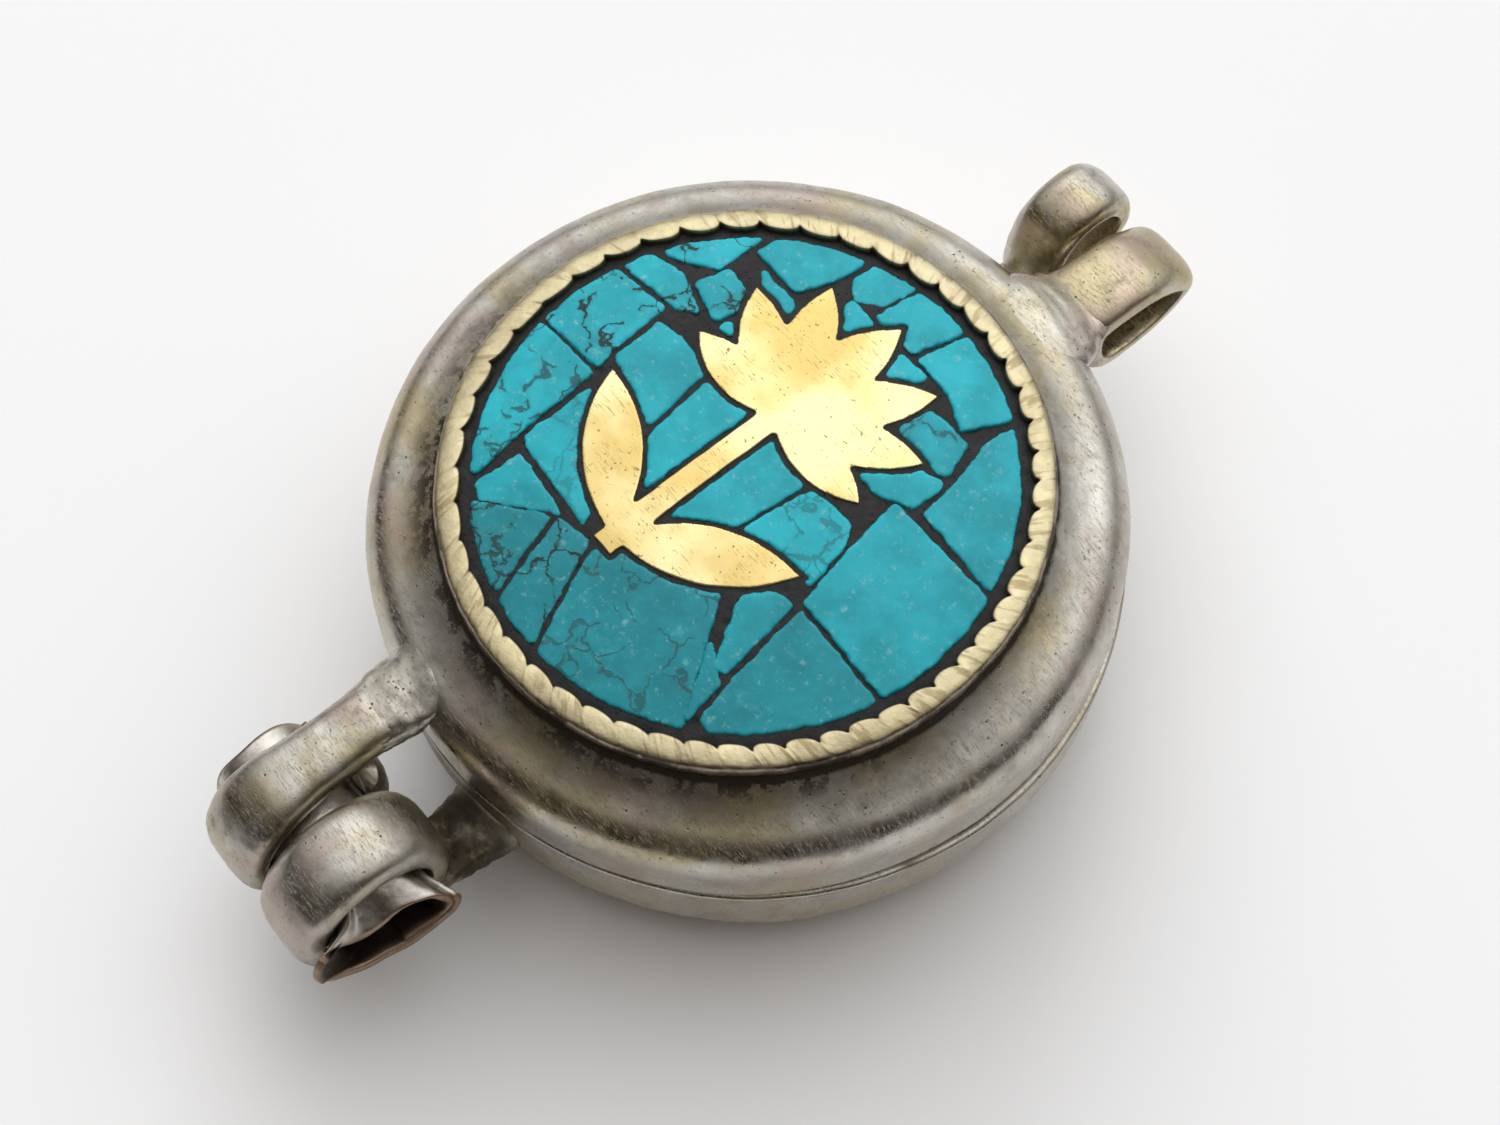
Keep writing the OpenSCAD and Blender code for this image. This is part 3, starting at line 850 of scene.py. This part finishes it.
def build_bezel():
    """Beaded wire soldered round the face, hammered in over the mastic and filed to a slope."""
    base_z = DECK_Z - 0.05
    # where filing has all but worn the beads away, and has dragged them round
    worn_at = math.radians(-110)
    joints = [bead_joint(k) for k in range(BEADS)]
    joints.append(joints[0] + 2 * math.pi)
    rows = []
    marks = {"notch_and_foot_shade": [], "along": [], "across": []}
    for k in range(BEADS):
        worn = 0.5 + 0.5 * math.cos(k * BEAD_PITCH - worn_at)
        depth = 0.36 - 0.20 * worn ** 2 + 0.22 * wob((k * 0.61, 3, 0), 1.0, 9.0)
        for j in range(BEAD_STEPS):
            t = j / BEAD_STEPS
            a = joints[k] + (joints[k + 1] - joints[k]) * t
            cleft = 1 - math.sqrt(max(0.0, 1 - (2 * t - 1) ** 2))
            inner = BEZEL_IN_R + depth * cleft + 0.05 * wob(polar(2, a, 0), 1.3, 5.0)
            outer = BEAD_OUT_R - 0.05 - 0.02 * cleft + 0.05 * wob(polar(3, a, 0), 1.6, 1.0)
            row = []
            for r, up, dark in wire_section(inner, outer):
                turn = a + (0.25 + 0.45 * worn) * (r - BEZEL_MID_R) / BEZEL_MID_R
                z = base_z + up + 0.03 * wob(polar(r, a, 0), 0.5, 2.0)
                row.append(polar(r + 0.025 * wob(polar(r, a, up), 1.4, 8.0), turn, z))
                # painted shade: dark at the wire's feet and in the notches between beads
                marks["notch_and_foot_shade"].append(min(1.0, 0.8 * dark + 1.2 * cleft ** 3 * smoothstep(12.1, 11.75, r)))
                marks["along"].append(a * BEZEL_MID_R)
                marks["across"].append(r - up)
            rows.append(row)
    mesh = mesh_from("bezel", *grid(rows, close_rows=True), merge=False)
    for name, values in marks.items():
        set_attribute(mesh, name, values)
    piece = finish_piece("bezel", mesh, BEZEL, "front_half", ["bezel_wire"])
    round_off = piece.modifiers.new("round", "SUBSURF")
    round_off.levels = 1
    round_off.render_levels = 1


def build_mastic():
    """Domed filler, with pores, a little lower than what is let into it."""
    edge_r = FACE_R + 0.08
    rings = resample([(0.05, 0), (edge_r, 0)], 0.11)[:, 0]
    rows = []
    for r in rings:
        row = []
        for a in np.linspace(0, 2 * math.pi, 420, endpoint=False):
            x, y, _ = polar(r, a, 0)
            z = dome_z(x, y) - 0.07 + 0.02 * wob((x, y, 0), 1.1, 2.0)
            pore = 0.22 * max(0.0, wob((x, y, 0), 2.3, 12.0) - 0.42)
            worn_rim = 0.10 * smoothstep(11.3, 11.9, r) * (0.5 + wob((x, y, 0), 1.4, 6.0))
            z -= pore + worn_rim
            row.append((x, y, z))
        rows.append(row)
    rim = [(p[0], p[1], DECK_Z + 0.02) for p in rows[-1]]
    floor = [(0.02 * p[0] / edge_r, 0.02 * p[1] / edge_r, DECK_Z + 0.02) for p in rows[-1]]
    mesh = mesh_from("mastic", *grid([*rows, rim, floor]))
    finish_piece("mastic", mesh, MASTIC, "front_half", ["mastic_bed"])


def remeshed(node, voxel, rounds):
    """A CAD node's mesh in millimetres, rebuilt as a fine even skin with softened edges."""
    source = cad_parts[node].data.copy()
    source.transform(Matrix.Scale(1 / MM, 4))
    source.materials.clear()
    holder = bpy.data.objects.new("holder", source)
    bpy.context.scene.collection.objects.link(holder)
    remesh = holder.modifiers.new("remesh", "REMESH")
    remesh.mode = "VOXEL"
    remesh.voxel_size = voxel
    soften = holder.modifiers.new("soften", "SMOOTH")
    soften.factor = 0.5
    soften.iterations = rounds
    graph = bpy.context.evaluated_depsgraph_get()
    mesh = bpy.data.meshes.new_from_object(holder.evaluated_get(graph))
    bpy.data.objects.remove(holder)
    bpy.data.meshes.remove(source)
    return mesh


# How strongly each stone is veined, by its number; the others aren't
VEINED = {10: 0.5, 11: 1.0, 12: 0.8, 14: 0.3, 15: 0.7, 16: 1.0, 17: 1.0, 18: 1.0, 19: 0.9, 24: 0.6, 27: 0.4}


def chipping(x, y, seed):
    """How far a stone's cut edge wanders sideways at a point."""
    return 0.07 * wob((x, y, 0), 1.5, seed) + 0.05 * wob((x, y, 0), 3.6, seed + 0.5)


def build_stones():
    """Each stone's outline is chipped a little and its face follows the ground dome."""
    names = [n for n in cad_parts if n.startswith("turquoise_stone_")]
    names.sort(key=lambda n: int(n.rsplit("_", 1)[1]))
    for k, node in enumerate(names, start=1):
        dice = random.Random(100 + k)
        mesh = remeshed(node, voxel=0.11, rounds=4)
        mesh.update()
        grow = np.empty(len(mesh.vertices) * 3, np.float32)
        mesh.vertices.foreach_get("normal", grow)
        grow = 0.09 * grow.reshape(-1, 3)
        lift = dice.uniform(-0.02, 0.015)
        lean_x = dice.uniform(-0.004, 0.004)
        lean_y = dice.uniform(-0.004, 0.004)
        for v in mesh.vertices:
            x, y, z = v.co
            step = chipping(x, y, k)
            slide = chipping(x, y, k + 40.0)
            top = dome_z(x, y)
            flat = smoothstep(-0.30, -0.12, z - top)
            level = top + lift + lean_x * x + lean_y * y - max(0.0, top - 0.05 - z) * 0.7
            v.co = (x + step + grow[v.index, 0], y + slide + grow[v.index, 1], z + flat * (level - z))
        middle = sum((v.co for v in mesh.vertices), Vector()) / len(mesh.vertices)
        # stones towards the hinge and the camera are darker: painted shade, plus a random tone for each
        # stone
        near = smoothstep(2.0, 9.0, 0.3 * middle.x - 0.95 * middle.y)
        set_attribute(mesh, "tone_and_near_shade", max(0.0, 0.05 + 0.50 * near + dice.uniform(-0.12, 0.12)))
        set_attribute(mesh, "veined", VEINED.get(k, 0.0))
        finish_piece(f"turquoise_{k:02d}", mesh, STONE, "front_half", [node])


def build_lotus():
    mesh = remeshed("brass_lotus", voxel=0.08, rounds=3)
    for v in mesh.vertices:
        x, y, z = v.co
        top = dome_z(x, y)
        flat = smoothstep(-0.26, -0.1, z - top)
        level = top + 0.01 + 0.012 * wob((x, y, 0), 0.6, 3.0) - max(0.0, top - 0.04 - z) * 0.7
        v.co = (x + 0.03 * wob((x, y, 0), 1.2, 21.0), y + 0.03 * wob((x, y, 0), 1.2, 31.0),
                z + flat * (level - z))
    finish_piece("lotus_emblem", mesh, BRASS, "front_half", ["brass_lotus"])


# ---------------------------------------------------------------- hinge tube
SHEET_T = 0.32
ROLL_DEGREES = 455
ROLL_ENDS_AT = 15
# The crushed end's rim is a flat loop with these half sizes, and its middle is off the tube's axis.
MOUTH_HALF_Y = 3.4
MOUTH_HALF_Z = 1.45
MOUTH_OFF_Y = -0.45
MOUTH_OFF_Z = 0.15
# The tube bends inside the ring where its rim is pressed in, and past the ring's face where it is splayed.
PRESSED_KNEE_X = 3.0
SPLAYED_KNEE_X = STRAP_W + 0.13


def tube_mouth(turn):
    """A point of the crushed end's rim, pressed in from above. turn runs from +Y towards +Z."""
    c, s = math.cos(turn), math.sin(turn)
    press = 1.05 * math.exp(-((turn - math.radians(100)) / 0.36) ** 2)
    press -= 0.5 * math.exp(-((turn - math.radians(145)) / 0.38) ** 2)
    lean = 0.25 + 0.45 * c - 0.3 * s
    return (TUBE_HIGH.x + lean, HINGE_Y + MOUTH_OFF_Y + MOUTH_HALF_Y * c,
            PART_Z + MOUTH_OFF_Z + MOUTH_HALF_Z * s - press)


def tube_line(rolled):
    """One line of the outer skin. rolled runs from 0 at the sheet's hidden edge to 1 at its outer one."""
    a = math.radians(ROLL_ENDS_AT - ROLL_DEGREES + ROLL_DEGREES * rolled)
    c, d = math.cos(a), math.sin(a)
    x_end, y_end, z_end = tube_mouth((a + math.pi) % (2 * math.pi) - math.pi)
    under = 0.24 * (1 - rolled)
    skin = TUBE_R - 0.03 - under
    pull = 1 - 1.1 * under / TUBE_R
    y_end = HINGE_Y + (y_end - HINGE_Y) * pull
    z_end = PART_Z + (z_end - PART_Z) * pull
    x_end += 0.06 * wob((a * 2.0, 0, 0), 1.3, 3.0) - 0.5 * under
    far = TUBE_LOW.x + 0.14 * wob((a * 1.2, 5, 0), 1.2, 6.0) + 0.1
    reach = math.hypot(y_end - HINGE_Y, z_end - PART_Z)
    knee = PRESSED_KNEE_X + (SPLAYED_KNEE_X - PRESSED_KNEE_X) * smoothstep(-0.9, 0.0, reach - skin)
    knee_r = skin if reach > skin else skin + 0.15 * (reach - skin)
    bend = np.array([knee, HINGE_Y + knee_r * c, PART_Z + knee_r * d])
    last = np.array([x_end, y_end, z_end])
    line = []
    for s in np.linspace(0, 1, 52):
        x = far + (knee - 0.35 - far) * s
        r = skin + 0.03 * wob((x, c * 2, d * 2), 0.9, 2.0)
        line.append((x, HINGE_Y + r * c, PART_Z + r * d))
    before = np.array(line[-1])
    for s in np.linspace(0, 1, 22)[1:]:
        p = (1 - s) ** 2 * before + 2 * s * (1 - s) * bend + s * s * last
        p = p + 0.05 * s * np.array([0, 1, 1]) * wob(tuple(p), 1.1, 3.0)
        line.append(tuple(p))
    return line


def build_tube():
    """Sheet rolled one and a quarter turns, a little torn at the left and crushed at the right."""
    outer = np.array([tube_line(rolled) for rolled in np.linspace(0, 1, 170)])
    normal = np.cross(np.gradient(outer, axis=1), np.gradient(outer, axis=0))
    normal /= np.linalg.norm(normal, axis=2)[..., None]
    # the normals point outwards, judged by one point on the plain part of the tube
    probe = (60, 10)
    if normal[probe][1:] @ (outer[probe][1:] - HINGE) < 0:
        normal = -normal
    inner = outer - SHEET_T * normal
    # each closed ring runs out along the outer skin and back along the inner one
    points, faces = grid([np.vstack([o, i[::-1]]) for o, i in zip(outer, inner)])
    skin_points = outer.shape[1]
    n = 2 * skin_points
    for first in (0, (len(outer) - 1) * n):
        for k in range(skin_points - 1):
            faces.append((first + k, first + k + 1, first + n - 2 - k, first + n - 1 - k))
    mesh = mesh_from("tube", points, faces, merge=False)
    rim = np.array([max(smoothstep(0.965, 1.0, t), smoothstep(0.015, 0.0, t))
                    for t in np.linspace(0, 1, skin_points)])
    set_attribute(mesh, "edge", np.tile(np.concatenate([rim, rim[::-1]]), len(outer)))
    set_attribute(mesh, "bore", np.tile(np.repeat([0.0, 1.0], skin_points), len(outer)))
    finish_piece("rolled_tube", mesh, SHEET, "hinge_barrel", ["hinge_tube"])


# ---------------------------------------------------------------- solder
SOLDER_STEP = 0.16


def solder(name, x, stations, seed, body):
    """A root of solder lofted along Y. Each station is y, middle height, half width and half height.

    Near the case each ring bends to follow the round wall, and this fades out along the strap.
    """
    rows = []
    for y, z, half_w, half_h in smooth_line(stations, SOLDER_STEP):
        row = []
        for a in np.linspace(0, 2 * math.pi, 56, endpoint=False):
            c = math.copysign(abs(math.cos(a)) ** 0.8, math.cos(a))
            s = math.copysign(abs(math.sin(a)) ** 0.8, math.sin(a))
            vary = 1 + 0.10 * wob((c, y * 0.7, s), 1.1, seed) + 0.05 * wob((c * 2, y * 2, s * 2), 1.5, seed)
            px = x + half_w * vary * c
            pz = z + half_h * vary * s
            sag = math.sqrt(CASE_R ** 2 - x * x) - math.sqrt(CASE_R ** 2 - px * px)
            sag *= smoothstep(CASE_R + 2.2, CASE_R - 0.4, abs(y))
            row.append((px, y - math.copysign(1.0, y) * sag + 0.06 * wob((px, y, pz), 1.0, seed + 3.0), pz))
        rows.append(row)
    finish_piece(name, mesh_from(name, *grid(rows, caps=True)), METAL_SOLDER, body)


def build_solder():
    solder("front_strap_solder", middle_x("front_hinge_strap"), [
        (-14.3, 10.86, 1.0, 0.14), (-14.8, 10.73, 1.45, 0.26), (-15.4, 10.34, 1.66, 0.56),
        (-16.0, 9.95, 1.7, 0.86), (-16.7, 9.92, 1.62, 0.9), (-17.6, 10.0, 1.5, 0.8),
        (-18.8, 10.1, 1.33, 0.4)], 3.0, "front_half")
    solder("front_loop_solder", middle_x("front_cord_loop"), [
        (13.4, 10.85, 1.2, 0.2), (14.1, 10.8, 2.1, 0.4), (15.2, 10.35, 2.6, 0.75), (16.1, 9.85, 2.5, 0.85),
        (17.1, 9.72, 2.05, 0.5), (18.6, 9.75, 1.5, 0.3)], 9.0, "front_half")
    solder("back_strap_solder", middle_x("back_hinge_strap") + BACK_ROOT_SHIFT, [
        (-15.5, 3.95, 1.6, 1.15), (-15.85, 3.95, 1.85, 1.3), (-16.3, 3.9, 1.75, 1.0),
        (-17.2, 3.85, 1.6, 0.75), (-19.0, 3.8, 1.3, 0.45)], 6.0, "back_half")
    solder("back_loop_solder", middle_x("back_cord_loop"), [
        (15.4, 4.75, 1.7, 0.9), (15.9, 4.8, 2.0, 1.1), (16.6, 5.0, 1.75, 0.8), (17.6, 5.2, 1.5, 0.55),
        (18.6, 5.38, 1.3, 0.42), (19.4, 5.45, 1.0, 0.25)], 12.0, "back_half")


# ---------------------------------------------------------------- inside
PAPER_T = 0.09
PAPER_TURNS = 7.3
THREAD_R = 0.13
THREAD_TURNS = 2.5
THREAD_LAY = 0.52


def scroll_size():
    """Radius, half length and height of the axis."""
    low, high = span("paper_scroll")
    return (high.z - low.z) / 2, (high.x - low.x) / 2, (high.z + low.z) / 2


def build_scroll():
    """Handmade paper rolled up: one skin is followed outwards and the other back."""
    r, half, mid_z = scroll_size()
    turns = np.linspace(0, 2 * math.pi * PAPER_TURNS, 420)
    rows = []
    for thick, way in ((0, turns), (PAPER_T, turns[::-1])):
        for a in way:
            skin = 0.35 + (r - 0.4) * (a / turns[-1]) ** 0.9 + thick
            end = half - 0.15 - 0.12 * (0.5 + wob((a, 0, 0), 0.3, 3.0))
            y = skin * math.cos(a)
            z = mid_z + skin * math.sin(a)
            rows.append([(x, y, z) for x in np.linspace(-end, end, 24)])
    mesh = mesh_from("scroll", *grid(rows, close_rows=True, close_cols=False))
    finish_piece("scroll", mesh, PAPER, "back_half", ["paper_scroll"])


def build_thread():
    """The thread wound round the scroll."""
    r, _, mid_z = scroll_size()
    wound = 2 * math.pi * THREAD_TURNS
    path = [Vector((THREAD_LAY * (a / wound - 0.5), (r + THREAD_R) * math.cos(a + 1.2),
                    mid_z + (r + THREAD_R) * math.sin(a + 1.2))) for a in np.linspace(0, wound, 160)]
    rows = []
    for i, p in enumerate(path):
        ahead = (path[min(i + 1, len(path) - 1)] - path[max(i - 1, 0)]).normalized()
        side = ahead.cross(Vector((1, 0, 0))).normalized()
        over = ahead.cross(side)
        rows.append([tuple(p + THREAD_R * (math.cos(t) * side + math.sin(t) * over))
                     for t in np.linspace(0, 2 * math.pi, 8, endpoint=False)])
    mesh = mesh_from("thread", *grid(rows, caps=True))
    finish_piece("thread", mesh, THREAD, "back_half", ["scroll_thread"])


aim_camera()
build_studio()
build_shells()
build_band()
build_straps()
build_bezel()
build_mastic()
build_stones()
build_lotus()
build_tube()
build_solder()
build_scroll()
build_thread()
